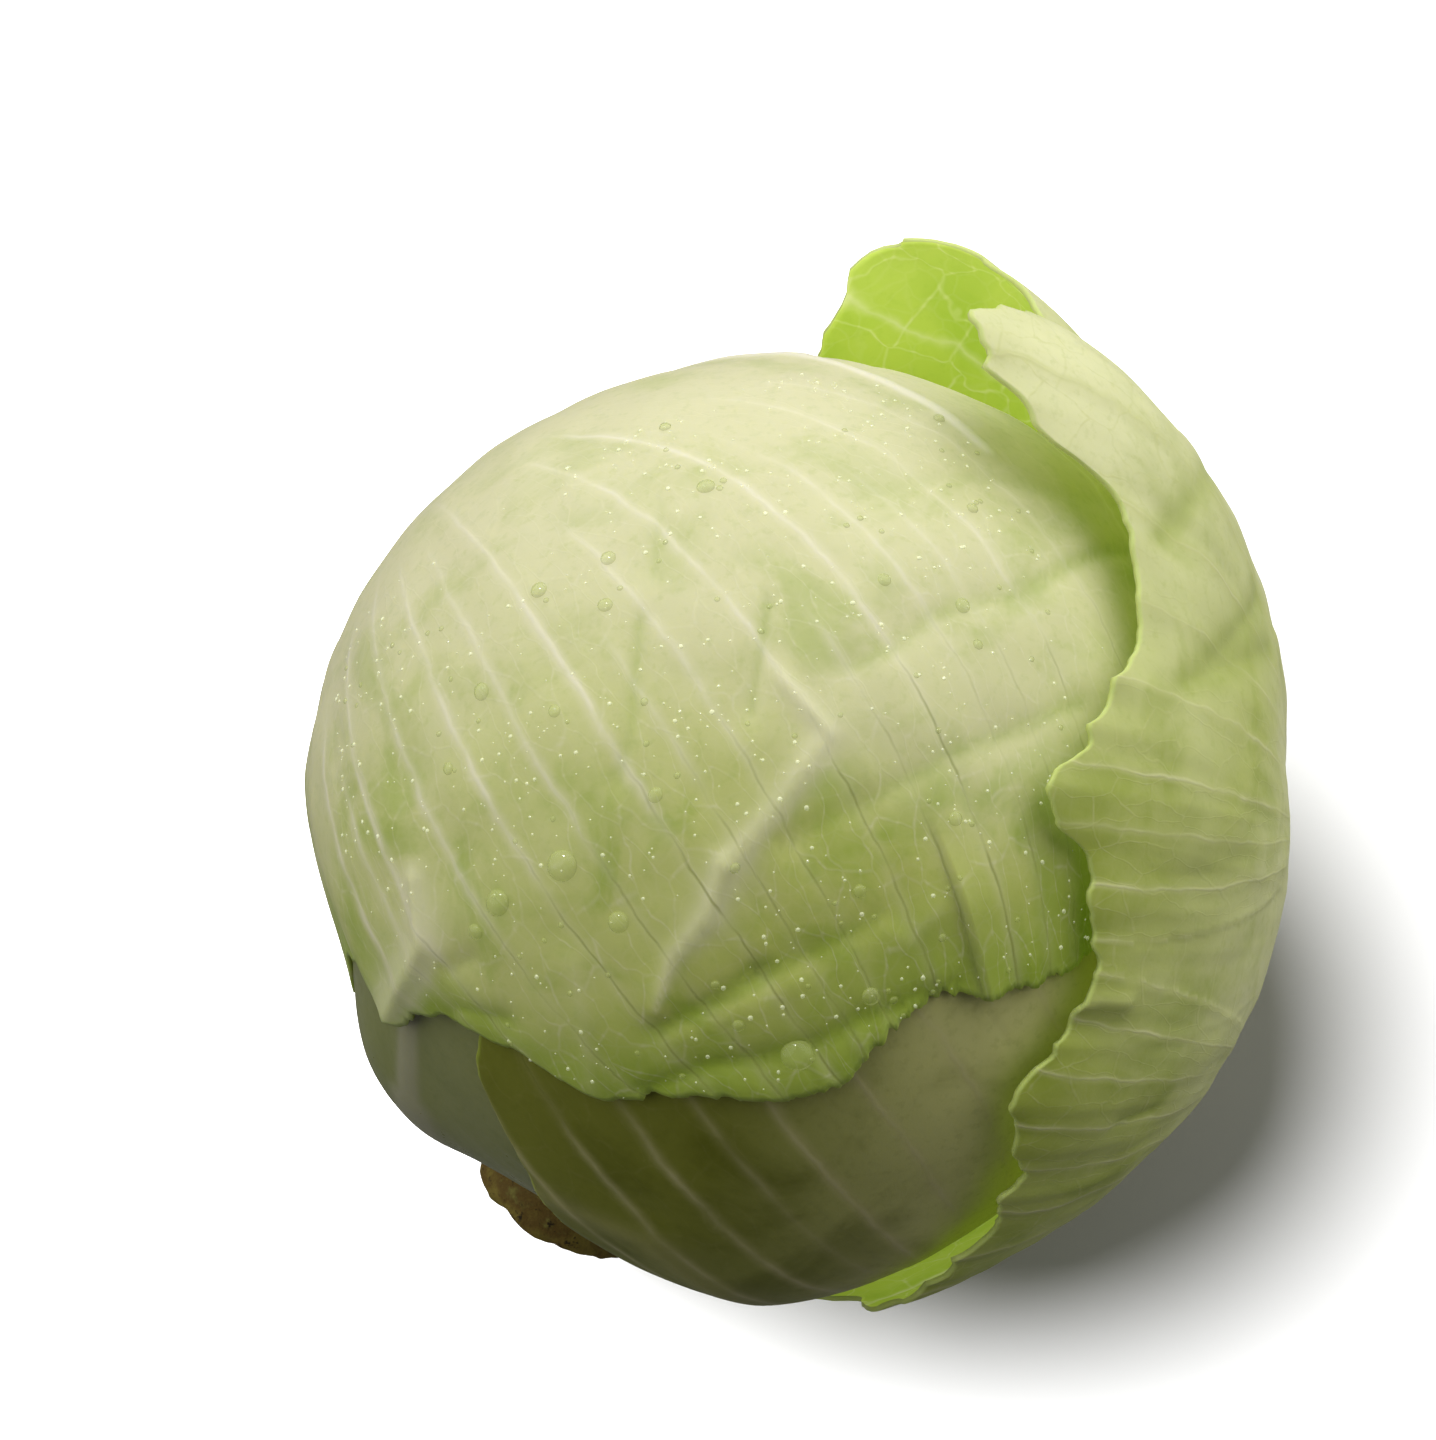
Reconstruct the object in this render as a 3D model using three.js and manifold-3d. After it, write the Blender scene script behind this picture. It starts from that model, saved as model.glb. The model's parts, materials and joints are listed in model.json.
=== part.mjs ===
// Cabbage head lying on its side: a cut stem, a heart of tightly packed inner leaves and six
// separate wrapper leaves, the outermost one standing open like a bowl round the head.
// Millimetres, +Z up. The origin is the middle of the small flat spot that the head rests on.
import * as THREE from 'three';
import { mergeVertices } from 'three/addons/utils/BufferGeometryUtils.js';
import Module from 'manifold-3d';

const wasm = await Module();
wasm.setup();

// Driving dimensions
const headRadius = 87;        // middle of the head to the cover leaf's outer face
const crownRise = 2.5;        // how far the crown end swells past the head's radius
const frontSwell = 5;         // how far the lower front swells
const ribSwell = 6;           // how far the left leaf's thick rib pushes out beside the stem
const sideDip = 2;            // how far the side above that rib draws in
const baseDip = 6;            // how far the head draws in round the stem
const leafThickness = 1.5;    // every wrapper leaf
const leafGap = 1;            // clear space between one leaf and the next one in
const restSpotRadius = 26;    // flat spot under the outer leaf
const bowlGape = 10.5;        // how far the outer leaf's middle stands off the head
const stemRadius = 18.5;      // at the cut end
const stemReach = 91.5;       // middle of the head to the cut end
const stemChamfer = 2;        // worn edge round the cut
const coreTipRadius = 6;      // the stem's tapered end inside the heart
const coreTipHeight = 18;     // middle of the head to that tip, towards the crown
const stemClearance = 0.6;    // round the stem, in the heart and in the base of each leaf

// How the head lies: its axis runs from the stem up to the crown
const lean = 46;              // degrees between that axis and upright
const leanTowards = 53;       // degrees round from +X to the side that the crown leans to

// Mesh fineness
const facetStep = 8.6;        // degrees of the head that one leaf facet spans at most
const facetGaps = 13.2;       // and at most this many leaf gaps, so it doesn't sag into the next
const heartSides = 32;
const stemSides = 28;

// Each leaf: its palm, which is its middle, as a latitude and longitude on the head; its level,
// counted inwards from the head's skin; and the points of its rim as [bearing, reach, gape].
// A bearing of 0 points from the palm to the crown and 180 to the stem, the reach is degrees
// from the palm, and the gape is how far the margin stands off the layer below.
const leaves = {
  outer_leaf: {
    palm: [8, 312], level: -1, palmGape: bowlGape, colour: 0xa9b56c,
    rim: [[180, 93, 0.5], [193, 84, 0.5], [204, 75, 0.5], [214, 70, 0.5], [227, 69, 0.5],
      [242, 68, 1], [258, 69, 1.5], [271, 74, 2], [284, 68, 2], [297, 72, 2], [308, 80, 3],
      [320, 73, 4], [335, 68, 5.5], [345, 71, 8], [350, 82, 11], [359, 90, 20], [7, 82, 19],
      [18, 75, 14], [32, 76, 26], [40, 84, 28], [49, 85, 15], [60, 86, 9], [80, 84, 8],
      [105, 87, 4], [128, 93, 2], [150, 96, 1]],
  },
  cover_leaf: {
    palm: [23, 77], level: 0, colour: 0xc3ca93,
    rim: [[180, 106, 0], [196, 94, 0], [212, 76, 0], [235, 72, 0], [262, 80, 0], [290, 88, 0],
      [318, 98, 0], [342, 112, 0], [2, 128, 0], [18, 136, 0], [32, 136, 0], [46, 133, 0],
      [64, 136, 0], [76, 134, 0], [88, 126, 0], [97, 121, 0], [102, 112, 0], [110, 101, 0],
      [121, 96, 0], [130, 84, 0], [148, 84, 0], [165, 98, 0]],
  },
  front_leaf: {
    palm: [-32, 304], level: 1, colour: 0x6b7233,
    rim: [[180, 56, 0], [203, 64, 0], [217, 76, 0], [223, 90, 0], [226, 104, 0], [238, 115, 0],
      [255, 112, 0], [275, 103, 0], [296, 98, 0], [318, 92, 0], [340, 82, 0], [5, 76, 0],
      [35, 72, 0], [65, 70, 0], [95, 68, 0], [125, 64, 0], [155, 56, 0]],
  },
  left_leaf: {
    palm: [-28, 160], level: 2, colour: 0x8f9468,
    rim: [[180, 60, 0], [205, 56, 0], [235, 52, 0], [270, 48, 0], [305, 48, 0], [340, 52, 0],
      [15, 52, 0], [50, 50, 0], [90, 54, 0], [125, 56, 0], [155, 58, 0]],
  },
  back_leaf: {
    palm: [5, 20], level: 3, colour: 0xb4bf80,
    rim: [[180, 88, 0], [215, 80, 0], [250, 75, 0], [290, 76, 0], [330, 82, 0], [0, 85, 0],
      [35, 82, 0], [75, 76, 0], [115, 75, 0], [150, 82, 0]],
  },
  inner_leaf: {
    palm: [8, 215], level: 4, colour: 0xcfd3a4,
    rim: [[180, 90, 0], [215, 80, 0], [250, 76, 0], [290, 78, 0], [330, 84, 0], [0, 88, 0],
      [35, 84, 0], [75, 78, 0], [115, 76, 0], [150, 82, 0]],
  },
};
const leafLevels = 5;         // levels of wrapper leaves between the skin and the heart

const rad = THREE.MathUtils.degToRad;
const levelPitch = leafThickness + leafGap;
const gapStep = THREE.MathUtils.radToDeg((facetGaps * leafGap) / headRadius);
const leafStep = Math.min(facetStep, gapStep);
const restAngle = Math.atan(restSpotRadius / headRadius);
const pressedRadius = headRadius / Math.cos(restAngle);

// The head is modelled about its own middle, with its z from the stem to the crown, and this
// turn then lays it on its side
const layDown = new THREE.Quaternion()
  .setFromEuler(new THREE.Euler(0, rad(lean), rad(leanTowards), 'ZYX'));
const down = new THREE.Vector3(0, 0, -1).applyQuaternion(layDown.clone().invert());
const crown = new THREE.Vector3(0, 0, 1);

function direction(latitude, longitude) {
  const a = rad(latitude);
  const o = rad(longitude);
  return new THREE.Vector3(Math.cos(a) * Math.cos(o), Math.cos(a) * Math.sin(o), Math.sin(a));
}

// Soft swellings and hollows of the head, each fading over its width in degrees
const swells = [
  { at: direction(68, 340), width: 30, rise: crownRise },
  { at: direction(-49, 244), width: 21, rise: frontSwell },
  { at: direction(-52, 147), width: 14, rise: ribSwell },
  { at: direction(-35, 132), width: 16, rise: -sideDip },
  { at: direction(-90, 0), width: 24, rise: -baseDip },
];

function skinRadius(way) {
  return swells.reduce(
    (sum, { at, width, rise }) => sum + rise * Math.exp(-((way.angleTo(at) / rad(width)) ** 2)),
    headRadius,
  );
}

// Direction at a bearing and a reach from a palm, both in radians
function fromPalm(palm, bearing, reach) {
  const north = crown.clone().addScaledVector(palm, -crown.dot(palm)).normalize();
  const east = new THREE.Vector3().crossVectors(crown, palm).normalize();
  const side = north.multiplyScalar(Math.cos(bearing)).addScaledVector(east, Math.sin(bearing));
  return palm.clone().multiplyScalar(Math.cos(reach)).addScaledVector(side, Math.sin(reach));
}

// Smooth closed rim through a leaf's rim points
function rimPoints(rim, sides) {
  const points = rim.map(([bearing, reach, gape]) => new THREE.Vector3(
    reach * Math.cos(rad(bearing)), reach * Math.sin(rad(bearing)), gape));
  const loop = new THREE.CatmullRomCurve3(points, true, 'centripetal').getSpacedPoints(sides);
  return loop.slice(0, sides).map((p) => (
    { bearing: Math.atan2(p.y, p.x), reach: rad(Math.hypot(p.x, p.y)), gape: p.z }));
}

// The weight of the head presses the outer leaf's underside to one radius round the rest spot
function pressed(way, radius) {
  const angle = way.angleTo(down);
  const free = THREE.MathUtils.smoothstep(angle, 1.1 * restAngle, 2.4 * restAngle);
  return THREE.MathUtils.lerp(pressedRadius, radius, free);
}

// Triangles of a round sheet: one middle point, then rings of points numbered from `first`
function sheetFaces(first, { sides, rings }, turnedOver) {
  const at = (ring, side) => (ring === 0 ? first : first + 1 + (ring - 1) * sides + (side % sides));
  const faces = [];
  const add = (a, b, c) => faces.push(...(turnedOver ? [a, b, c] : [a, c, b]));
  for (let side = 0; side < sides; side += 1) {
    add(first, at(1, side), at(1, side + 1));
    for (let ring = 1; ring < rings; ring += 1) {
      add(at(ring, side), at(ring + 1, side), at(ring + 1, side + 1));
      add(at(ring, side), at(ring + 1, side + 1), at(ring, side + 1));
    }
  }
  return faces;
}

// How many sides and rings keep a leaf's facets small enough to clear the leaf inside it
function leafSize(rim) {
  const widest = Math.max(...rim.map(([, reach]) => reach));
  const girth = 360 * Math.sin(rad(Math.min(widest, 90)));
  return { sides: Math.ceil(girth / leafStep), rings: Math.ceil(widest / leafStep) };
}

// Closed shell of one leaf: an outer sheet, an inner sheet and the rim between them
function leafGeometry({ palm, level, palmGape = 0, rim }) {
  const middle = direction(...palm);
  const size = leafSize(rim);
  const edge = rimPoints(rim, size.sides);
  const isOuter = level < 0;
  const outerFace = (way, gape) => {
    const radius = skinRadius(way) - level * levelPitch + gape;
    return isOuter ? pressed(way, radius) : radius;
  };
  const innerFace = (way, gape) => {
    const radius = outerFace(way, gape) - leafThickness;
    const floor = (headRadius - leafThickness) / Math.max(way.dot(down), 0.1);
    return isOuter ? Math.min(radius, floor) : radius;
  };
  const positions = [];
  for (const face of [outerFace, innerFace]) {
    positions.push(...middle.clone().multiplyScalar(face(middle, palmGape)).toArray());
    for (let ring = 1; ring <= size.rings; ring += 1) {
      const t = ring / size.rings;
      for (const { bearing, reach, gape } of edge) {
        const way = fromPalm(middle, bearing, reach * t);
        const eased = THREE.MathUtils.lerp(palmGape, gape, gape > palmGape ? t * t : t ** 1.25);
        positions.push(...way.clone().multiplyScalar(face(way, eased)).toArray());
      }
    }
  }
  const inside = 1 + size.sides * size.rings;
  const faces = [...sheetFaces(0, size, false), ...sheetFaces(inside, size, true)];
  const lastRing = 1 + (size.rings - 1) * size.sides;
  for (let side = 0; side < size.sides; side += 1) {
    const a = lastRing + side;
    const b = lastRing + ((side + 1) % size.sides);
    faces.push(a, inside + b, inside + a, a, b, inside + b);
  }
  return new THREE.BufferGeometry()
    .setAttribute('position', new THREE.Float32BufferAttribute(positions, 3))
    .setIndex(faces);
}

// Stem and core, turned about the head's axis: `grow` fattens it all round and `extra` lengthens
// its cut end, for the clearance cut
function stemGeometry(grow = 0, extra = 0) {
  const neck = -0.8 * headRadius;
  const profile = [
    [0, -stemReach - extra],
    [stemRadius - stemChamfer + grow, -stemReach - extra],
    [stemRadius + grow, -stemReach + stemChamfer],
    [stemRadius + grow, neck],
    [0.84 * stemRadius + grow, 0.75 * neck],
    [0.62 * stemRadius + grow, 0.35 * neck],
    [0.45 * stemRadius + grow, 0],
    [coreTipRadius + grow, coreTipHeight - coreTipRadius],
    [0.7 * coreTipRadius + grow, coreTipHeight - 0.3 * coreTipRadius + grow],
    [0, coreTipHeight + grow],
  ];
  return new THREE.LatheGeometry(profile.map(([x, y]) => new THREE.Vector2(x, y)), stemSides)
    .rotateX(Math.PI / 2);
}

// Ball of packed inner leaves, inside all the wrapper levels
function heartGeometry() {
  const ball = new THREE.SphereGeometry(1, heartSides, heartSides * 0.75).rotateX(Math.PI / 2);
  const position = ball.attributes.position;
  const way = new THREE.Vector3();
  for (let i = 0; i < position.count; i += 1) {
    way.fromBufferAttribute(position, i).normalize();
    way.multiplyScalar(skinRadius(way) - leafLevels * levelPitch);
    position.setXYZ(i, way.x, way.y, way.z);
  }
  return ball;
}

// Everything below the surface that the head rests on
function floorGeometry() {
  const block = 4 * headRadius;
  return new THREE.BoxGeometry(block, block, block)
    .translate(0, 0, -headRadius - block / 2)
    .applyQuaternion(layDown.clone().invert());
}

function solidOf(geometry) {
  const bare = geometry.clone();
  bare.deleteAttribute('normal');
  bare.deleteAttribute('uv');
  const { attributes, index } = mergeVertices(bare, 1e-4);
  return new wasm.Manifold(new wasm.Mesh({
    numProp: 3,
    vertProperties: attributes.position.array,
    triVerts: new Uint32Array(index.array),
  }));
}

function meshOf(name, solid, colour, roughness) {
  const { vertProperties, triVerts } = solid.getMesh();
  const geometry = new THREE.BufferGeometry()
    .setAttribute('position', new THREE.BufferAttribute(vertProperties, 3))
    .setIndex(new THREE.BufferAttribute(triVerts, 1));
  const material = new THREE.MeshStandardMaterial({ color: colour, roughness, metalness: 0 });
  const mesh = new THREE.Mesh(geometry, material);
  mesh.name = name;
  return mesh;
}

const stemRoom = solidOf(stemGeometry(stemClearance, headRadius));
const floor = solidOf(floorGeometry());

const head = new THREE.Group();
head.add(meshOf('stem', solidOf(stemGeometry()), 0x6f6a45, 0.85));
head.add(meshOf('heart', solidOf(heartGeometry()).subtract(stemRoom), 0xdfe0b4, 0.6));
for (const [name, leaf] of Object.entries(leaves)) {
  const solid = solidOf(leafGeometry(leaf)).subtract(stemRoom).subtract(floor);
  head.add(meshOf(name, solid, leaf.colour, 0.5));
}
head.quaternion.copy(layDown);
head.position.z = headRadius;

const cabbage = new THREE.Group();
cabbage.add(head);

export default cabbage;
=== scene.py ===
import json
import math
import random

import bmesh
import bpy
import numpy as np
from mathutils import Euler, Matrix, Vector, noise
from mathutils.bvhtree import BVHTree

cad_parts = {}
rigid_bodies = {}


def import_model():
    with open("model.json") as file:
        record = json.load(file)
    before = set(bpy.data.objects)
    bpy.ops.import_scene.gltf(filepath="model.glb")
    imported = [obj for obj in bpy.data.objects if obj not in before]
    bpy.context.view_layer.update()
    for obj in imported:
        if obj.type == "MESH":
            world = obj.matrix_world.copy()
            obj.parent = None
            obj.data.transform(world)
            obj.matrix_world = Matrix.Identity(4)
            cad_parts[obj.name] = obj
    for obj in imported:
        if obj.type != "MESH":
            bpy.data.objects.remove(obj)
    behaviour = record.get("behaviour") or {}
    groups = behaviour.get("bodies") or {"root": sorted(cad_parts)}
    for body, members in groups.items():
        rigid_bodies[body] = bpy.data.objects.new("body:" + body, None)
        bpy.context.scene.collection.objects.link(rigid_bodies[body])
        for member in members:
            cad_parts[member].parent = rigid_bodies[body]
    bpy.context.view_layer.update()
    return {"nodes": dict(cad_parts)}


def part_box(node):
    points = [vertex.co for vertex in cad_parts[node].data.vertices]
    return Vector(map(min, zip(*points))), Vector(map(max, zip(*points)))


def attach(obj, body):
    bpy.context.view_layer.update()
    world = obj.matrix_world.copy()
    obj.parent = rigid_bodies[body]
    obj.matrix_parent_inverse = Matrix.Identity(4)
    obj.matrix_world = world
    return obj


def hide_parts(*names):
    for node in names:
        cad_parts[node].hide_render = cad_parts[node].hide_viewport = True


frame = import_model()
mm = 0.001
print("frame loaded:", ", ".join(sorted(frame["nodes"])))

# The head lies on its side: its axis runs from the stem up to the crown
head = {
    "radius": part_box("cover_leaf")[1][2] / 2,
    "lean": 46,
    "leanTowards": 53,
    "levelPitch": 2.5 * mm,
    "restSpot": 26 * mm,
    "pressedReach": (1.1, 2.4),  # in rest spot radii: all pressed, then free again
    # where the head swells or draws in: latitude, longitude, width in degrees, rise
    "swells": [(68, 340, 30, 2.5 * mm), (-49, 244, 21, 5 * mm), (-52, 147, 14, 6 * mm),
               (-35, 132, 16, -2 * mm), (-90, 0, 24, -6 * mm)],
}
centre = Vector((0, 0, head["radius"]))
layDown = Euler((0, math.radians(head["lean"]), math.radians(head["leanTowards"]))).to_matrix()


def direction(latitude, longitude):
    up, around = math.radians(latitude), math.radians(longitude)
    return layDown @ Vector((math.cos(up) * math.cos(around), math.cos(up) * math.sin(around),
                             math.sin(up)))


def angleTo(ways, way):
    return np.degrees(np.arccos(np.clip(ways @ np.array(way), -1, 1)))


def smoothStep(low, high, value):
    t = np.clip((value - low) / (high - low), 0, 1)
    return t * t * (3 - 2 * t)


# Distance from the middle of the head to its skin, for many directions at once
def skinRadius(ways):
    radius = np.full(ways.shape[:-1], head["radius"])
    for latitude, longitude, width, rise in head["swells"]:
        radius += rise * np.exp(-(angleTo(ways, direction(latitude, longitude)) / width) ** 2)
    return radius


# The head's weight presses the outer leaf's underside flat round the rest spot
def pressed(ways, radius):
    down = np.array((0, 0, -1.0))
    restAngle = math.atan(head["restSpot"] / head["radius"])
    flatRadius = head["radius"] / math.cos(restAngle)
    free = smoothStep(*head["pressedReach"], angleTo(ways, down) / math.degrees(restAngle))
    floorDistance = head["radius"] / np.maximum(ways @ down, 0.1)
    return np.minimum(flatRadius + (radius - flatRadius) * free, floorDistance)


# Directions at bearings and reaches from a leaf's palm; 0 points to the crown, 180 to the stem
def fromPalm(palm, bearing, reach):
    palm, crown = np.array(palm), np.array(direction(90, 0))
    north = crown - palm * (crown @ palm)
    north /= np.linalg.norm(north)
    east = np.cross(crown, palm)
    east /= np.linalg.norm(east)
    around, out = np.radians(bearing)[..., None], np.radians(reach)[..., None]
    return palm * np.cos(out) + (north * np.cos(around) + east * np.sin(around)) * np.sin(out)


# Settings that all leaves share, in mm or degrees of reach where nothing else is said
sheet = {
    "rimSteps": 60,       # curve points between two rim points
    "lineSteps": 5,       # pieces between two points of a fold or rib, to keep to the skin
    "veinFade": 14,       # reach over which a vein comes in
    "puffWidth": 6,       # the blade rises to its full height this far from a vein
    "gapeEase": 2,        # how late a leaf opens towards its rim, where it opens outwards
    "drawEase": 1.25,     # and where it draws in
    "foldTip": 0.12,      # share of a fold's width that is rounded at its crest
    "rippleLength": 9, "rippleReach": 6, "hugReach": 5,
    "tearWidth": 0.3, "tearFade": 9, "tearLength": 14,
    "focusEase": 0.8,     # share of the focus width that keeps the full density of points
}


# Degrees of the head that a length along its skin in mm spans
def degreesOf(length):
    return math.degrees(length * mm / head["radius"])


# Closed centripetal curve through a leaf's rim points
def rimCurve(rim):
    spots = np.array([(reach * math.cos(math.radians(bearing)),
                       reach * math.sin(math.radians(bearing)), gape)
                      for bearing, reach, gape in rim])
    t = np.linspace(0, 1, sheet["rimSteps"], endpoint=False)[:, None]
    curve = []
    for i in range(len(spots)):
        p0, p1, p2, p3 = (spots[(i + k - 1) % len(spots)] for k in range(4))
        d0, d1, d2 = (np.sum(gap ** 2) ** 0.25 for gap in (p1 - p0, p2 - p1, p3 - p2))
        out = ((p1 - p0) / d0 - (p2 - p0) / (d0 + d1) + (p2 - p1) / d1) * d1
        into = ((p2 - p1) / d1 - (p3 - p1) / (d1 + d2) + (p3 - p2) / d2) * d1
        curve.append(p1 + out * t + (3 * (p2 - p1) - 2 * out - into) * t ** 2
                     + (2 * (p1 - p2) + out + into) * t ** 3)
    return np.concatenate(curve)


# Noise along a line, for ragged margins
def lineNoise(values, seed):
    return np.array([noise.noise((float(v), seed * 7.3, 1.7)) for v in values])


# Noise round a closed margin, so that its two ends meet; size is the length of one wave
def loopNoise(length, size, seed):
    loop = length[-1]
    turns = max(1, round(loop / size)) / 6.28
    angles = length / loop * 2 * math.pi
    return np.array([noise.noise((turns * math.cos(angle), turns * math.sin(angle), seed))
                     for angle in angles])


# Noise over the surface, for soft waves
def fieldNoise(ways, scale, seed):
    flat = ways.reshape(-1, 3) * scale + seed * 3.1
    values = np.array([noise.noise(way) for way in flat])
    return values.reshape(ways.shape[:-1])


# Nearest distance from each direction to a line through [bearing, reach] points, in metres
def distanceToLine(ways, palm, line):
    bearings, reaches = np.array(line, dtype=float).T
    corners = fromPalm(palm, bearings, reaches)
    t = np.linspace(0, len(line) - 1, sheet["lineSteps"] * (len(line) - 1) + 1)
    marks = np.array([np.interp(t, np.arange(len(line)), corners[:, k]) for k in range(3)]).T
    marks /= np.linalg.norm(marks, axis=1, keepdims=True)
    nearest = np.full(ways.shape[:-1], math.inf)
    for start, end in zip(marks[:-1], marks[1:]):
        along = np.clip(((ways - start) @ (end - start)) / np.sum((end - start) ** 2), 0, 1)
        gap = np.linalg.norm(ways - (start + along[..., None] * (end - start)), axis=-1)
        nearest = np.minimum(nearest, gap)
    return nearest * head["radius"]


# Where a leaf's veins run. They leave the midrib at the stem end, or at the tip end past the
# split, and fan out. The track counts the veins, one lying at each half, and the pitch is the
# distance between two of them in mm
def veinFields(leaf, bearing, reach):
    gather = np.exp(-reach / leaf["veinFanReach"])
    turn, side = np.abs(bearing), np.where(bearing < 0, -1, 1)
    split = np.where(bearing < 0, *leaf["veinSplit"])
    fromStem = (turn - 180 * gather) / (1 - gather + 1e-6)
    fromTip = turn / (1 - gather + 1e-6)
    course = side * np.where(fromStem >= split, fromStem, np.minimum(fromTip, split))
    between = (fromStem < split) & (fromTip > split)
    courses, starts, strengths = np.array(leaf["veins"], dtype=float).T
    count = np.arange(len(courses)) + 0.5
    track = np.interp(course, np.concatenate([[-200], courses, [200]]),
                      np.concatenate([[0], count, [len(courses)]]))
    nearest = np.clip(track.astype(int), 0, len(courses) - 1)
    spread = np.sin(np.radians(reach)) * head["radius"] / mm
    gap = np.gradient(courses)[nearest]
    pitch = np.radians(gap) * spread * (1 - gather)
    show = strengths[nearest] * smoothStep(
        starts[nearest], starts[nearest] + sheet["veinFade"], reach)
    return track, pitch, show * ~between


# A leaf's sheet: a grid of bearings and reaches, laid round the head and shaped by its fields
def buildLeaf(leaf):
    palm = direction(*leaf["palm"])
    sides, rings = leaf["grid"]
    rim = rimCurve(leaf["rim"])
    steps = np.linalg.norm(np.roll(rim, -1, axis=0)[:, :2] - rim[:, :2], axis=1)
    rimBearing = np.degrees(np.arctan2(rim[:, 1], rim[:, 0]))
    middle, width, extra = leaf["focus"]
    weight = 1 + extra * (1 - smoothStep(
        width * sheet["focusEase"], width, np.abs((rimBearing - middle + 180) % 360 - 180)))
    travel = np.concatenate([[0], np.cumsum(steps * weight)])
    closed = np.vstack([rim, rim[:1]])
    stops = np.linspace(0, travel[-1], sides + 1)
    edge = np.array([np.interp(stops, travel, closed[:, k]) for k in range(3)]).T
    length = np.interp(stops, travel, np.concatenate([[0], np.cumsum(steps)]))
    length /= degreesOf(1)

    edgeBearing = np.degrees(np.unwrap(np.arctan2(edge[:, 1], edge[:, 0])))
    edgeBearing -= 360 * round((edgeBearing[0] + 180) / 360)
    edgeReach = np.hypot(edge[:, 0], edge[:, 1])
    for size, depth in leaf["ragged"]:
        edgeReach = edgeReach + loopNoise(length, size, size) * degreesOf(depth)
    for size, depth in leaf["teeth"]:
        edgeReach = edgeReach - np.abs(loopNoise(length, size, 9)) * 2 * degreesOf(depth)

    t = np.linspace(0, 1, rings + 1)
    t = (t ** leaf["ringEase"])[:, None]
    reach = t * edgeReach[None, :]
    bearing = np.broadcast_to(edgeBearing[None, :], reach.shape)
    ways = fromPalm(palm, bearing, reach)

    gape = edge[:, 2][None, :]
    eased = t ** np.where(gape > leaf["palmGape"], sheet["gapeEase"], sheet["drawEase"])
    radius = skinRadius(ways) - leaf["level"] * head["levelPitch"]
    radius = radius + (leaf["palmGape"] + (gape - leaf["palmGape"]) * eased) * mm

    fromEdge = (edgeReach[None, :] - reach) / degreesOf(1)
    track, pitch, show = veinFields(leaf, bearing, reach)
    offVein = np.abs(track % 1 - 0.5) * pitch
    vein = show * np.exp(-(offVein / leaf["veinWidth"]) ** 2)
    vein *= 1 - smoothStep(*leaf["creaseReach"], reach)
    puff = np.minimum(offVein / sheet["puffWidth"], 1) * show * leaf["puff"] * mm
    rib = np.zeros(reach.shape)
    for line, width, rise in leaf["ribs"]:
        ridge = np.exp(-(distanceToLine(ways, palm, line) / (width * mm)) ** 2)
        rib = np.maximum(rib, ridge)
        puff = np.maximum(puff, rise * mm * ridge)
    fold = np.zeros(reach.shape)
    for line, width, rise in leaf["folds"]:
        gap = distanceToLine(ways, palm, line)
        soft = sheet["foldTip"] * width * mm
        fold += rise * mm * np.exp(-(np.sqrt(gap ** 2 + soft ** 2) - soft) / (width * mm))
    wave = np.zeros(reach.shape)
    for scale, rise in leaf["waves"]:
        wave += rise * mm * fieldNoise(ways, scale, leaf["seed"] + scale)
    ripple = lineNoise(length / sheet["rippleLength"], leaf["seed"])[None, :]
    ripple = leaf["ripple"] * mm * ripple * np.exp(-fromEdge / sheet["rippleReach"])
    hug = leaf["hug"] * mm * np.exp(-fromEdge / sheet["hugReach"])
    for middle, spread, rise, depth in leaf.get("flares", ()):
        around = np.exp(-(((bearing - middle + 180) % 360 - 180) / spread) ** 2)
        hug = hug - rise * mm * around * np.exp(-(fromEdge / depth) ** 2)
    for course, start, rise in leaf.get("tears", ()):
        past = course - bearing
        lifted = smoothStep(-sheet["tearWidth"], sheet["tearWidth"], past)
        lifted = lifted * np.exp(-np.maximum(past, 0) / sheet["tearFade"])
        hug = hug - rise * mm * lifted * smoothStep(start, start + sheet["tearLength"], reach)
    shape = fold + wave + ripple - hug + puff + vein * leaf["veinRise"] * mm
    radius = radius + shape
    if leaf["level"] < 0:
        radius = pressed(ways, radius)
    points = np.array(centre) + ways * radius[..., None]
    return points, {"track": track, "pitch": pitch, "show": show, "rib": rib,
                    "margin": fromEdge, "fold": fold / mm, "reach": reach}


# A piece of mesh made by bmesh, with its finishes, its body and its CAD node
def makePiece(name, bm, finishes, node=None):
    mesh = bpy.data.meshes.new(name)
    bm.to_mesh(mesh)
    bm.free()
    for polygon in mesh.polygons:
        polygon.use_smooth = True
    for finish in finishes:
        mesh.materials.append(finish)
    piece = bpy.data.objects.new(name, mesh)
    bpy.context.scene.collection.objects.link(piece)
    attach(piece, "root")
    if node:
        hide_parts(node)
    print("made", name, len(mesh.polygons), "faces")
    return piece


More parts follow.
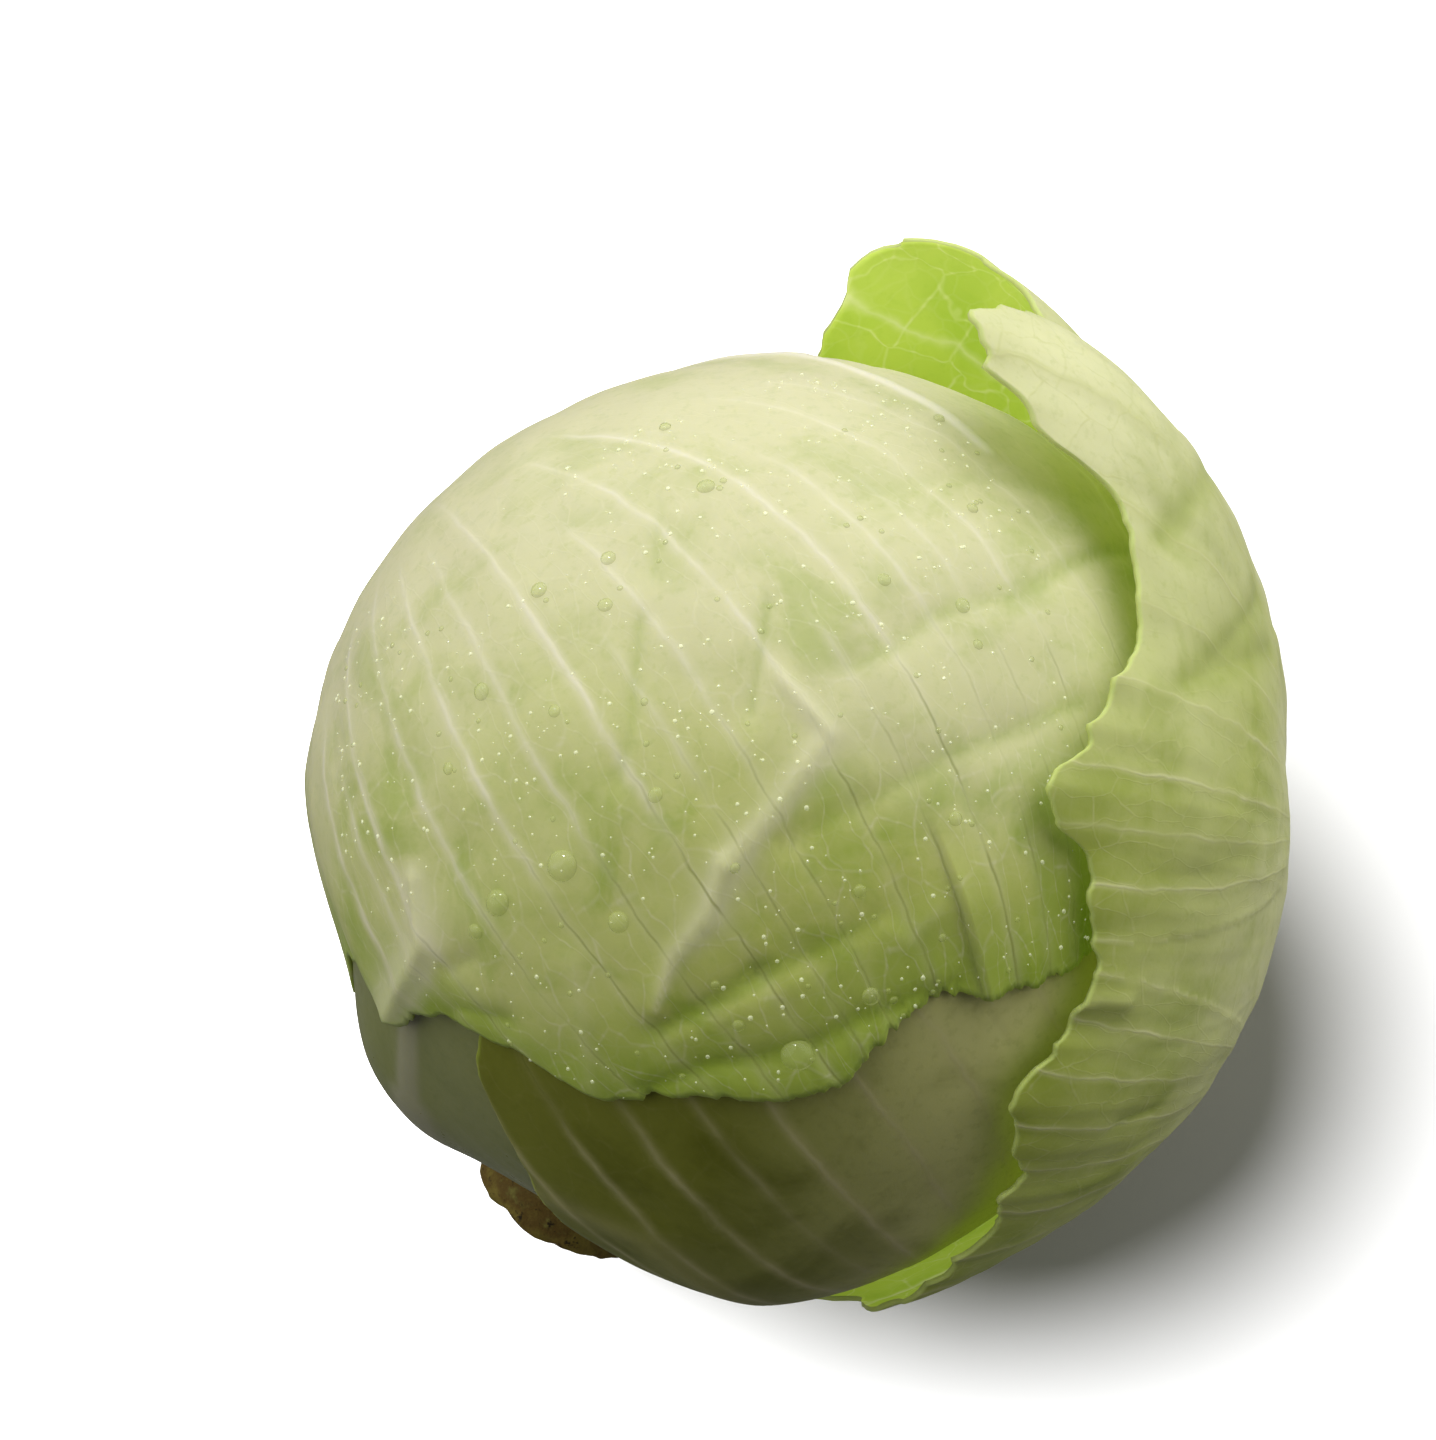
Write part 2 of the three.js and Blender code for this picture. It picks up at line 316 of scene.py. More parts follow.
# A whole leaf from its dictionary: the sheet, then its thickness
def growLeaf(name, node, leaf, outside, inside):
    points, fields = buildLeaf(leaf)
    rings, sides = points.shape[0] - 1, points.shape[1] - 1
    bm = bmesh.new()
    bmesh.ops.create_grid(bm, x_segments=sides, y_segments=rings, size=1)
    layers = {key: bm.verts.layers.float.new(key) for key in fields}
    for vert in bm.verts:
        side = round((vert.co.x + 1) / 2 * sides)
        ring = round((vert.co.y + 1) / 2 * rings)
        vert.co = points[ring, side]
        for key, layer in layers.items():
            vert[layer] = fields[key][ring, side]
    bmesh.ops.remove_doubles(bm, verts=bm.verts, dist=0.01 * mm)
    piece = makePiece(name, bm, [outside, inside], node)
    wall = piece.modifiers.new("wall", "SOLIDIFY")
    wall.thickness = leaf["thickness"] * mm
    wall.offset = -1
    wall.use_even_offset = False
    wall.material_offset = 1
    return piece


# Shader maths: one class wraps a socket, one method adds any node
class Tie:
    def __init__(self, finish, socket):
        self.finish, self.socket = finish, socket

    def math(self, operation, *others, swap=False):
        values = (*others, self) if swap else (self, *others)
        return self.finish.node("ShaderNodeMath", {"operation": operation}, values)

    def __add__(self, other): return self.math("ADD", other)
    def __radd__(self, other): return self.math("ADD", other)
    def __sub__(self, other): return self.math("SUBTRACT", other)
    def __rsub__(self, other): return self.math("SUBTRACT", other, swap=True)
    def __mul__(self, other): return self.math("MULTIPLY", other)
    def __rmul__(self, other): return self.math("MULTIPLY", other)
    def __truediv__(self, other): return self.math("DIVIDE", other)
    def __pow__(self, other): return self.math("POWER", other)

    def ease(self, low, high):
        return self.finish.node(
            "ShaderNodeMapRange", {"interpolation_type": "SMOOTHSTEP"},
            {"Value": self, "From Min": low, "From Max": high})


class Finish:
    def __init__(self, name):
        self.material = bpy.data.materials.new(name)
        self.material.use_nodes = True
        self.tree = self.material.node_tree
        self.shader = self.tree.nodes["Principled BSDF"]
        self.place = self.node("ShaderNodeTexCoord", out="Object")

    def node(self, kind, settings=None, inputs=(), out=0):
        node = self.tree.nodes.new(kind)
        for key, value in (settings or {}).items():
            setattr(node, key, value)
        pairs = inputs.items() if isinstance(inputs, dict) else enumerate(inputs)
        for key, value in pairs:
            self.feed(node.inputs[key], value)
        return Tie(self, node.outputs[out])

    def feed(self, socket, value):
        if isinstance(value, Tie):
            self.tree.links.new(value.socket, socket)
        elif isinstance(value, (tuple, list)) and len(value) == 3 and socket.type == "RGBA":
            socket.default_value = (*value, 1)
        else:
            socket.default_value = value

    def field(self, name):
        return self.node("ShaderNodeAttribute", {"attribute_name": name}, out="Fac")

    def noise(self, size, detail=3, rough=0.5, twist=0.0):
        return self.node("ShaderNodeTexNoise", {}, {
            "Vector": self.place, "Scale": 1 / (size * mm), "Detail": detail,
            "Roughness": rough, "Distortion": twist})

    # Thin lines between cells of the given size; wander bends them
    def net(self, size, wander):
        sway = self.node("ShaderNodeTexNoise", {}, {
            "Vector": self.place, "Scale": 0.9 / (size * mm), "Detail": 2}, out="Color")
        centred = self.node("ShaderNodeVectorMath", {"operation": "SUBTRACT"},
                            (sway, (0.5, 0.5, 0.5)))
        moved = self.node("ShaderNodeVectorMath", {"operation": "MULTIPLY_ADD"},
                          (centred, (wander * mm,) * 3, self.place))
        return self.node("ShaderNodeTexVoronoi", {"feature": "DISTANCE_TO_EDGE"},
                         {"Vector": moved, "Scale": 1 / (size * mm)}, out="Distance")

    # The colour sockets of a Mix node are its inputs 6 and 7 and its output 2
    def mix(self, amount, low, high):
        return self.node("ShaderNodeMix", {"data_type": "RGBA"}, {0: amount, 6: low, 7: high}, 2)

    def bump(self, height, strength, distance, under=None):
        inputs = {"Height": height, "Strength": strength, "Distance": distance * mm}
        if under:
            inputs["Normal"] = under
        return self.node("ShaderNodeBump", {}, inputs)

    def wear(self, **sockets):
        for key, value in sockets.items():
            self.feed(self.shader.inputs[key.replace("_", " ")], value)
        return self.material


# Leaf finish: pale towards the middle, green towards the margin, with pale veins that sink to
# olive creases of painted shade near the margin, folds with painted light on their ridges and
# painted shade in their furrows, a net of small veins and a waxy skin
leafSkin = {
    # sizes in mm, and the levels of noise between which each shows
    "streakSize": 2.2, "patchSize": 11, "patchShows": (0.36, 0.62), "swaySize": 9,
    "grainSize": 0.8, "mottleShows": (0.45, 0.70), "edgeWander": 20,
    "streakShows": (0.5, 0.75), "streakDepth": 0.16,
    # share of a vein's width that its pale core takes, and how much is left where it has sunk
    "coreWidth": 0.3, "sunkBand": 0.25,
    "cellsPerVein": 2.2, "threadWidth": 0.10, "ribShows": (0.15, 0.8),
    "ridgeLightShows": (0.15, 1.2), "furrowShadeShows": (0.15, 1.1),
}


def leafFinish(name, look):
    finish = Finish(name)
    track, pitch, show, rib, margin, reach, fold = (
        finish.field(key)
        for key in ("track", "pitch", "show", "rib", "margin", "reach", "fold"))
    cloud = finish.noise(look["cloudSize"], detail=2, twist=0.4)
    mottle = finish.noise(look["mottleSize"], detail=4, rough=0.55, twist=0.6)
    streak = finish.noise(leafSkin["streakSize"], detail=3, rough=0.6)
    patchy = finish.noise(leafSkin["patchSize"], detail=2).ease(*leafSkin["patchShows"])
    sway = finish.noise(leafSkin["swaySize"], detail=2)

    # blade: paler on one side, partly its own paler tone and partly painted light where the light
    # falls, and paler near the palm; greener and mottled towards the margin
    way, low, high, amount = look["paleAndLitSide"]
    pale = finish.node("ShaderNodeVectorMath", {"operation": "DOT_PRODUCT"},
                       (finish.place, way), out="Value").ease(low * mm, high * mm) * amount
    ripe = (reach + (cloud - 0.5) * look["cloudReach"]).ease(*look["paleReach"])
    ripe = ripe * (1 - pale)
    body = finish.mix(ripe, look["pale"], look["green"])
    nearEdge = (margin + (mottle - 0.5) * leafSkin["edgeWander"]).ease(0.0, look["edgeWidth"])
    body = finish.mix((1 - nearEdge) * look["edgeShow"], body, look["deep"])
    body = finish.mix(streak.ease(*leafSkin["streakShows"]) * leafSkin["streakDepth"],
                      body, look["deep"])
    deeper = mottle.ease(*leafSkin["mottleShows"]) * look["mottle"] * (0.35 + ripe * 0.65)
    body = finish.mix(deeper, body, look["deep"])

    # main veins: a soft pale band, then a thin dark line of painted shade where the vein has sunk
    lane = (track + (sway - 0.5) * look["sway"]).math("FRACT")
    offVein = (lane - 0.5).math("ABSOLUTE") * pitch
    sunk = reach.ease(*look["sunkReach"])
    band = (1 - (offVein / look["veinWidth"]).ease(0.0, 1.0)) ** 1.5
    band = band * show * (1 - sunk * (1 - leafSkin["sunkBand"]))
    band = band * (0.35 + streak * 0.6 + patchy * 0.5)
    core = 1 - (offVein / (look["veinWidth"] * leafSkin["coreWidth"])).ease(0.0, 1.0)
    core = core * show * (1 - sunk) * (0.4 + patchy * 0.6)
    line = 1 - (offVein / look["sunkWidth"]).ease(0.0, 1.0)
    line = line * show * sunk * (0.3 + patchy)

    # small veins tie the main ones together in long cells
    cells = finish.node("ShaderNodeCombineXYZ", {}, (
        track * leafSkin["cellsPerVein"] + sway * 1.1, reach * look["netStretch"] + cloud * 1.5))
    ladder = finish.node("ShaderNodeTexVoronoi", {
        "feature": "DISTANCE_TO_EDGE", "voronoi_dimensions": "2D"},
        {"Vector": cells, "Scale": 1.0}, out="Distance")
    rungs = (1 - ladder.ease(0.0, look["netWidth"])) * look["net"]
    fine = finish.net(look["netSize"], 0.6 * look["netSize"])
    threads = (1 - fine.ease(0.0, leafSkin["threadWidth"])) * look["fineNet"]

    body = finish.mix((rungs + threads).ease(0.0, 1.0), body, look["vein"])
    body = finish.mix(band * look["veinShow"], body, look["vein"])
    body = finish.mix(core * look["veinShow"] * 0.6, body, look["core"])
    body = finish.mix(rib.ease(*leafSkin["ribShows"]) * 0.8, body, look["core"])
    # fold ridges get painted light in the pale vein colour, furrows painted shade in the deep
    # green
    body = finish.mix(fold.ease(*leafSkin["ridgeLightShows"]) * look["foldLightAndShadeShow"], body, look["vein"])
    body = finish.mix((0 - fold).ease(*leafSkin["furrowShadeShows"]) * look["foldLightAndShadeShow"],
                      body, look["deep"])
    # the sunk vein line is painted shade, in the crease colour
    body = finish.mix(line * look["creaseShadeShow"], body, look["creaseShadeColour"])
    body = finish.mix((1 - margin.ease(0.0, look["rimWidth"])) * look["rimShow"],
                      body, look["rimColour"])

    grain = finish.noise(leafSkin["grainSize"], detail=3, rough=0.65)
    skin = finish.bump(grain, 0.10, 0.2)
    relief = mottle * 0.7 + rungs * 0.35 + threads * 0.12 + core * 0.35 - line * 0.45
    # emission in the leaf's own colour, set by shimmer, is a painted glow that stands for light
    # coming through a thin leaf
    return finish.wear(
        Base_Color=body, Roughness=look["rough"] + streak * 0.14 - band * 0.05,
        Normal=finish.bump(relief, look["bump"], 1.0, under=skin), IOR=1.4,
        Subsurface_Weight=look["glow"], Subsurface_Radius=(1.0, 0.9, 0.35),
        Subsurface_Scale=3 * mm, Specular_IOR_Level=look["shine"],
        Emission_Color=body, Emission_Strength=look["paintedGlow"])


# What each leaf's look says: colours, widths in mm, reaches in degrees, and shares from 0 to 1.
# paleAndLitSide is a direction, where along it in mm the blade turns pale, and by how much:
# partly the leaf's own paler tone, partly painted light on the side the light falls on; shimmer
# is a painted glow, a little light of its own that stands for light coming through a thin leaf
coverLook = {
    "pale": (0.61, 0.59, 0.355), "green": (0.44, 0.48, 0.125), "deep": (0.25, 0.345, 0.03),
    "vein": (0.68, 0.65, 0.43), "core": (0.76, 0.72, 0.56), "creaseShadeColour": (0.20, 0.22, 0.04),
    "rimColour": (0.33, 0.44, 0.07), "rimWidth": 3.0, "rimShow": 0.5,
    "cloudSize": 40, "cloudReach": 45, "mottleSize": 20, "mottle": 0.8,
    "paleReach": (40, 122), "netSize": 5, "netWidth": 0.06, "net": 0.24, "fineNet": 0.13,
    "netStretch": 0.11, "veinWidth": 2.6, "sunkWidth": 0.45, "sunkReach": (82, 106),
    "sway": 0.2, "veinShow": 0.7, "foldLightAndShadeShow": 0.5, "creaseShadeShow": 0.45, "bump": 0.16,
    "glow": 0.25, "rough": 0.34, "shine": 0.28, "paintedGlow": 0.0,
    "paleAndLitSide": ((0.4, 0.6, 0.7), 97, 120, 0.6), "edgeWidth": 26, "edgeShow": 0.75,
}
outerLook = {
    "pale": (0.66, 0.66, 0.38), "green": (0.35, 0.405, 0.075), "deep": (0.25, 0.32, 0.03),
    "vein": (0.50, 0.52, 0.22), "core": (0.60, 0.60, 0.34), "creaseShadeColour": (0.20, 0.26, 0.04),
    "rimColour": (0.50, 0.60, 0.18), "rimWidth": 0.9, "rimShow": 0.7,
    "cloudSize": 45, "cloudReach": 50, "mottleSize": 20, "mottle": 0.55,
    "paleReach": (10, 75), "netSize": 6, "netWidth": 0.05, "net": 0.30, "fineNet": 0.16,
    "netStretch": 0.14, "veinWidth": 1.5, "sunkWidth": 0.5, "sunkReach": (190, 200),
    "sway": 0.24, "veinShow": 0.75, "foldLightAndShadeShow": 0.4, "creaseShadeShow": 0, "bump": 0.2,
    "glow": 0.25, "rough": 0.42, "shine": 0.1, "paintedGlow": 0.0,
    "paleAndLitSide": ((0, 0.5, 0.85), 100, 165, 0.95), "edgeWidth": 10, "edgeShow": 0.1,
}
# inside of the outer leaf: brighter greens, partly the inner face's own colour and partly painted
# light coming through the thin leaf, with a painted glow
glowingInsideLook = dict(outerLook, **{
    "pale": (0.53, 0.66, 0.13), "green": (0.47, 0.62, 0.07), "deep": (0.34, 0.52, 0.04),
    "vein": (0.66, 0.74, 0.30), "core": (0.74, 0.78, 0.46), "rimShow": 0.2, "net": 0.4,
    "fineNet": 0.2, "glow": 0.35, "paintedGlow": 0.3,
})
# front leaf: dark greens, partly the leaf's own colour and partly painted shade on the head's
# underside
frontLook = {
    "pale": (0.50, 0.49, 0.20), "green": (0.16, 0.17, 0.022), "deep": (0.095, 0.105, 0.007),
    "vein": (0.40, 0.37, 0.17), "core": (0.46, 0.42, 0.24), "creaseShadeColour": (0.13, 0.14, 0.02),
    "rimColour": (0.28, 0.36, 0.05), "rimWidth": 2.0, "rimShow": 0.5,
    "cloudSize": 45, "cloudReach": 60, "mottleSize": 26, "mottle": 0.75,
    "paleReach": (-20, 70), "netSize": 6, "netWidth": 0.07, "net": 0.10, "fineNet": 0.06,
    "netStretch": 0.10, "veinWidth": 3.0, "sunkWidth": 0.5, "sunkReach": (86, 104),
    "sway": 0.16, "veinShow": 0.5, "foldLightAndShadeShow": 0.4, "creaseShadeShow": 0.5, "bump": 0.12,
    "glow": 0.2, "rough": 0.36, "shine": 0.09, "paintedGlow": 0.0,
    "paleAndLitSide": ((1, 0, 0), -15, 45, 0.9), "edgeWidth": 18, "edgeShow": 0.35,
}
# left leaf: darkened well below its own grey-green, painted shade for a leaf the light hardly
# reaches
leftShadedLook = dict(frontLook, **{
    "pale": (0.21, 0.22, 0.09), "green": (0.15, 0.17, 0.04), "deep": (0.10, 0.12, 0.02),
    "vein": (0.25, 0.25, 0.13), "core": (0.28, 0.27, 0.17), "mottle": 0.5, "net": 0.03,
    "fineNet": 0.03, "bump": 0.06, "veinShow": 0.3, "rough": 0.24, "shine": 0.3, "edgeShow": 0.1,
    "paleAndLitSide": ((1, 0, 0), 0, 1, 0),
})
innerLook = dict(coverLook, **{
    "pale": (0.66, 0.66, 0.38), "green": (0.56, 0.60, 0.24), "deep": (0.46, 0.52, 0.16)})

coverLeaf = {
    "slot": "cover_leaf", "palm": (23, 77), "level": 0, "palmGape": 0, "thickness": 0.9,
    "rim": [(180, 106, 0), (196, 94, 0), (212, 76, 0), (235, 72, 0), (262, 80, 0),
            (290, 88, 0), (318, 98, 0), (342, 112, 0), (2, 128, 0), (18, 136, 0),
            (32, 136, 0), (46, 133, 0), (64, 136, 0), (76, 134, 0), (88, 126, 0),
            (97, 121, 0), (102, 112, 0), (110, 101, 0), (121, 96, 0), (130, 84, 0),
            (148, 84, 0), (165, 98, 0)],
    "grid": (470, 100), "ringEase": 0.75, "focus": (62, 75, 0.8), "seed": 3,
    "ragged": [(13, 1.3), (5, 0.7), (2.6, 0.3)], "teeth": [(11, 1.4), (4.5, 0.5)],
    "hug": 0.8, "ripple": 0.5, "waves": [(2.2, 0.8), (5.5, 0.5), (11, 0.22)],
    "flares": [(68, 24, 1.5, 6), (40, 6, 1.0, 5), (142, 30, -3.4, 22)], "tears": [(38, 110, 2.2)],
    "veinRise": 0.14, "veinWidth": 2.2, "puff": 0.18, "veinFanReach": 20,
    "veinSplit": (10, 0), "creaseReach": (84, 108),
    # course past the fan, reach where it starts, strength
    "veins": [(-148, 20, 1), (-128, 20, 1), (-108, 20, 1), (-88, 20, 1), (-68, 20, 1),
              (-50, 20, 1), (-30, 24, 1), (-12, 30, 0.9), (1, 40, 0.5), (12, 40, 0.6),
              (19, 62, 0.4), (25, 50, 0.6), (32, 30, 1), (38, 78, 0.6), (45, 34, 0.8),
              (54, 50, 0.65), (60, 70, 0.6), (66, 30, 1), (75, 40, 0.7), (83, 38, 0.85),
              (92, 34, 0.7), (102, 40, 1), (106, 62, 0.6), (112, 50, 0.9), (125, 30, 1),
              (142, 24, 1), (160, 24, 1)],
    "ribs": [([(180, 106), (180, 60), (180, 20)], 5.0, 1.2),
             ([(180, 30), (0, 0), (0, 40)], 3.2, 0.8), ([(0, 30), (2, 70)], 2.0, 0.5)],
    # line of bearings and reaches, width and rise in mm
    "folds": [([(47, 90), (45, 98), (54, 103), (63, 106)], 1.5, 1.0),
              ([(63, 106), (68, 110), (75, 112), (81, 116)], 1.5, 1.1),
              ([(45, 98), (54, 103), (68, 110)], 8, 0.7),
              ([(56, 107), (44, 107), (32, 106), (21, 106), (11, 105)], 2.2, -0.8),
              ([(83, 118), (74, 119), (67, 119)], 2.4, -1.6),
              ([(67, 119), (59, 120), (49, 120)], 2.2, -1.0),
              ([(82, 120), (74, 121), (62, 122)], 2.2, 0.5),
              ([(49, 121), (47, 124), (41, 122)], 2.2, 0.5),
              ([(91, 123), (81, 125), (73, 128), (65, 130), (58, 130), (50, 131), (42, 132)],
               1.9, -1.3),
              ([(10, 90), (2, 88), (353, 87), (343, 87)], 2.2, -0.9),
              ([(26, 72), (14, 73), (4, 75), (354, 79), (339, 80)], 3.5, -0.5),
              ([(40, 92), (33, 92), (27, 90), (20, 90), (13, 91)], 2.4, -0.7),
              ([(44, 81), (52, 92)], 2.0, -0.8), ([(58, 75), (65, 87), (69, 91)], 2.2, -0.7),
              ([(48, 61), (54, 70)], 2, -0.5),
              ([(100, 86), (104, 93), (108, 94), (122, 95)], 2.6, 1.5),
              ([(104, 93), (122, 95)], 8, 1.0),
              ([(103, 97), (98, 98)], 2.0, -0.8), ([(118, 101), (106, 101), (100, 106)], 3, -1.0),
              ([(97, 119), (90, 112), (86, 106)], 3, 0.5)],
}
outerLeaf = {
    "slot": "outer_leaf", "palm": (8, 312), "level": -1, "palmGape": 10.5, "thickness": 1.0,
    "rim": [(180, 93, 0.5), (193, 84, 0.5), (204, 75, 0.5), (214, 70, 0.5), (227, 69, 0.5),
            (242, 68, 1), (258, 69, 1.5), (271, 74, 2), (284, 68, 2), (297, 72, 2),
            (308, 80, 3), (320, 73, 4), (335, 68, 5.5), (345, 71, 8), (350, 82, 11),
            (359, 90, 20), (7, 82, 19), (18, 75, 14), (32, 76, 26), (40, 84, 28),
            (49, 85, 15), (60, 86, 9), (80, 84, 8), (105, 87, 4), (128, 93, 2), (150, 96, 1)],
    "grid": (470, 100), "ringEase": 0.8, "focus": (300, 110, 0.8), "seed": 11,
    "ragged": [(16, 0.9), (6, 0.6), (2.6, 0.3)], "teeth": [(17, 3.6), (7, 1.1)],
    "hug": 0.3, "ripple": 1.0, "waves": [(2.2, 0.8), (6, 0.5), (12, 0.3)],
    "veinRise": 0.3, "veinWidth": 1.5, "puff": 0.35, "veinFanReach": 17,
    "veinSplit": (70, 72), "creaseReach": (200, 201),
    "veins": [(-160, 24, 0.8), (-146, 24, 0.9), (-132, 24, 1), (-120, 24, 0.8),
              (-109, 20, 1), (-100, 24, 0.8), (-92, 20, 1), (-84, 30, 0.7), (-77, 20, 1),
              (-70, 22, 0.8), (-63, 20, 1), (-56, 20, 0.7), (-49, 20, 1), (-38, 20, 0.8),
              (-27, 20, 0.9), (-15, 20, 1), (-4, 20, 0.8), (8, 20, 1), (20, 20, 0.9),
              (33, 20, 1), (46, 20, 0.9), (60, 20, 1), (76, 20, 1), (92, 20, 1),
              (110, 20, 1), (128, 20, 1), (146, 20, 1), (162, 24, 0.9)],
    "ribs": [([(180, 93), (180, 50), (180, 20)], 5.0, 1.4),
             ([(180, 30), (0, 0), (0, 34)], 3.4, 0.9), ([(0, 26), (2, 60)], 2.2, 0.6)],
    "folds": [([(283, 69), (284, 66), (284, 62)], 1.6, 1.3), ([(281, 70), (281, 62)], 2.5, -0.8),
              ([(344, 64), (6, 54)], 4, -1.0), ([(331, 55), (355, 42)], 3.5, -1.1),
              ([(326, 60), (349, 38)], 3.5, -0.9), ([(300, 60), (306, 44)], 5, -0.6),
              ([(265, 56), (265, 50)], 2.2, -0.9)],
}
frontLeaf = {
    "slot": "front_leaf", "palm": (-32, 304), "level": 1, "palmGape": 0, "thickness": 0.9,
    "rim": [(180, 56, 0), (203, 64, 0), (217, 76, 0), (223, 90, 0), (226, 104, 0),
            (238, 115, 0), (255, 112, 0), (275, 103, 0), (296, 98, 0), (318, 92, 0),
            (340, 82, 0), (5, 76, 0), (35, 72, 0), (65, 70, 0), (95, 68, 0), (125, 64, 0),
            (155, 56, 0)],
    "grid": (400, 90), "ringEase": 0.8, "focus": (245, 70, 0.8), "seed": 19,
    "ragged": [(13, 0.9), (5, 0.6), (2.6, 0.25)], "teeth": [(11, 1.2), (4.5, 0.5)],
    "hug": 0.5, "ripple": 0.3, "waves": [(2.5, 0.5), (6, 0.3)],
    "veinRise": 0.12, "veinWidth": 2.6, "puff": 0.15, "veinFanReach": 16,
    "veinSplit": (70, 60), "creaseReach": (84, 104),
    "veins": [(-160, 20, 0.8), (-148, 20, 1), (-136, 20, 0.9), (-125, 20, 0.8),
              (-115, 20, 1), (-106, 40, 0.5), (-98, 20, 1), (-87, 20, 0.9), (-76, 20, 0.7),
              (-64, 20, 0.9), (-50, 20, 0.8), (-34, 20, 0.9), (-16, 20, 0.8), (6, 20, 0.8),
              (28, 20, 0.9), (50, 20, 0.8), (75, 20, 0.9), (98, 20, 0.9), (120, 20, 0.9),
              (145, 20, 0.9)],
    "ribs": [([(180, 56), (180, 20)], 5.0, 1.0), ([(180, 26), (0, 0), (0, 34)], 3.2, 0.6)],
    "folds": [([(211, 88), (223, 80), (232, 72), (228, 48)], 8, 1.0),
              ([(236, 96), (232, 84), (237, 77)], 6, -0.6)],
}
leftLeaf = {
    "slot": "left_leaf", "palm": (-28, 160), "level": 2, "palmGape": 0, "thickness": 0.9,
    "rim": [(180, 60, 0), (205, 56, 0), (235, 52, 0), (270, 48, 0), (305, 48, 0),
            (340, 52, 0), (15, 52, 0), (50, 50, 0), (90, 54, 0), (125, 56, 0), (155, 58, 0)],
    "grid": (260, 60), "ringEase": 0.85, "focus": (150, 90, 0.5), "seed": 27,
    "ragged": [(13, 0.8), (5, 0.4)], "teeth": [(11, 0.5)],
    "hug": 0.5, "ripple": 0.2, "waves": [(2.5, 0.3), (6, 0.15)],
    "veinRise": 0.12, "veinWidth": 2.2, "puff": 0.1, "veinFanReach": 16,
    "veinSplit": (70, 70), "creaseReach": (200, 201),
    "veins": [(course, 16, 0.8) for course in range(-162, 163, 18)],
    "ribs": [([(180, 60), (180, 20)], 6.0, 0.8), ([(180, 26), (0, 0), (0, 30)], 3.5, 0.5)],
    "folds": [],
}
backLeaf = {
    "slot": "inner_leaves", "palm": (5, 20), "level": 3, "palmGape": 0, "thickness": 0.9,
    "rim": [(180, 88, 0), (215, 80, 0), (250, 75, 0), (290, 76, 0), (330, 82, 0), (0, 85, 0),
            (35, 82, 0), (75, 76, 0), (115, 75, 0), (150, 82, 0)],
    "grid": (220, 60), "ringEase": 0.85, "focus": (150, 90, 0.2), "seed": 33,
    "ragged": [(13, 0.8), (5, 0.4)], "teeth": [(11, 0.5)],
    "hug": 0.4, "ripple": 0.2, "waves": [(2.5, 0.3)],
    "veinRise": 0.15, "veinWidth": 2.0, "puff": 0.12, "veinFanReach": 18,
    "veinSplit": (70, 70), "creaseReach": (200, 201),
    "veins": [(course, 20, 0.9) for course in range(-160, 161, 20)],
    "ribs": [([(180, 88), (180, 20)], 5.0, 0.7), ([(180, 26), (0, 0), (0, 40)], 3.2, 0.5)],
    "folds": [],
}
innerLeaf = dict(backLeaf, **{
    "palm": (8, 215), "level": 4, "seed": 39,
    "rim": [(180, 90, 0), (215, 80, 0), (250, 76, 0), (290, 78, 0), (330, 84, 0), (0, 88, 0),
            (35, 84, 0), (75, 78, 0), (115, 76, 0), (150, 82, 0)]})

growLeaf("coverLeaf", "cover_leaf", coverLeaf,
         leafFinish("coverOutside", coverLook), leafFinish("coverInside", innerLook))
growLeaf("outerLeaf", "outer_leaf", outerLeaf,
         leafFinish("outerOutside", outerLook), leafFinish("outerInside", glowingInsideLook))
growLeaf("frontLeaf", "front_leaf", frontLeaf,
         leafFinish("frontOutside", frontLook), leafFinish("frontInside", innerLook))
growLeaf("leftLeaf", "left_leaf", leftLeaf,
         leafFinish("leftOutside", leftShadedLook), leafFinish("leftInside", innerLook))
innerFinish = leafFinish("innerLeaves", innerLook)
growLeaf("backLeaf", "back_leaf", backLeaf, innerFinish, innerFinish)
growLeaf("innerLeaf", "inner_leaf", innerLeaf, innerFinish, innerFinish)


# Heart: packed inner leaves, seen only in the gaps between the wrapper leaves
heart = {"cloudSize": 22, "layerSize": 14, "layerWander": 8,
         "pale": (0.78, 0.79, 0.55), "green": (0.66, 0.70, 0.36), "seam": (0.55, 0.58, 0.30)}


def heartFinish():
    finish = Finish("heart")
    cloud = finish.noise(heart["cloudSize"], detail=4, rough=0.6)
    layers = finish.net(heart["layerSize"], heart["layerWander"]).ease(0.0, 0.08)
    colour = finish.mix(cloud.ease(0.35, 0.7), heart["pale"], heart["green"])
    colour = finish.mix(layers, heart["seam"], colour)
    return finish.wear(Base_Color=colour, Roughness=0.45 + cloud * 0.15, Subsurface_Weight=0.2,
                       Subsurface_Scale=3 * mm,
                       Normal=finish.bump(cloud + layers * 0.4, 0.2, 1.5))


def dressNode(node, finish):
    for piece in bpy.data.objects:
        if piece.type == "MESH" and piece.name.split(".")[0] == node:
            for slot in piece.material_slots:
                slot.material = finish


dressNode("heart", heartFinish())

# Stem: a cut stump, spun and roughened, with a corky skin and a dry cut face
stem = {"radius": 18.5, "reach": 91.5, "tip": 18, "tipRadius": 6, "inset": 0.6, "sides": 96,
        "knobs": 0.9, "knobSize": 7, "pimpleSize": 2.6, "seed": 5,
        "patchSize": 9, "spotSize": 2.2, "cork": (0.19, 0.15, 0.028),
        "brown": (0.10, 0.055, 0.012), "scar": (0.26, 0.27, 0.06), "spots": (0.03, 0.02, 0.008)}


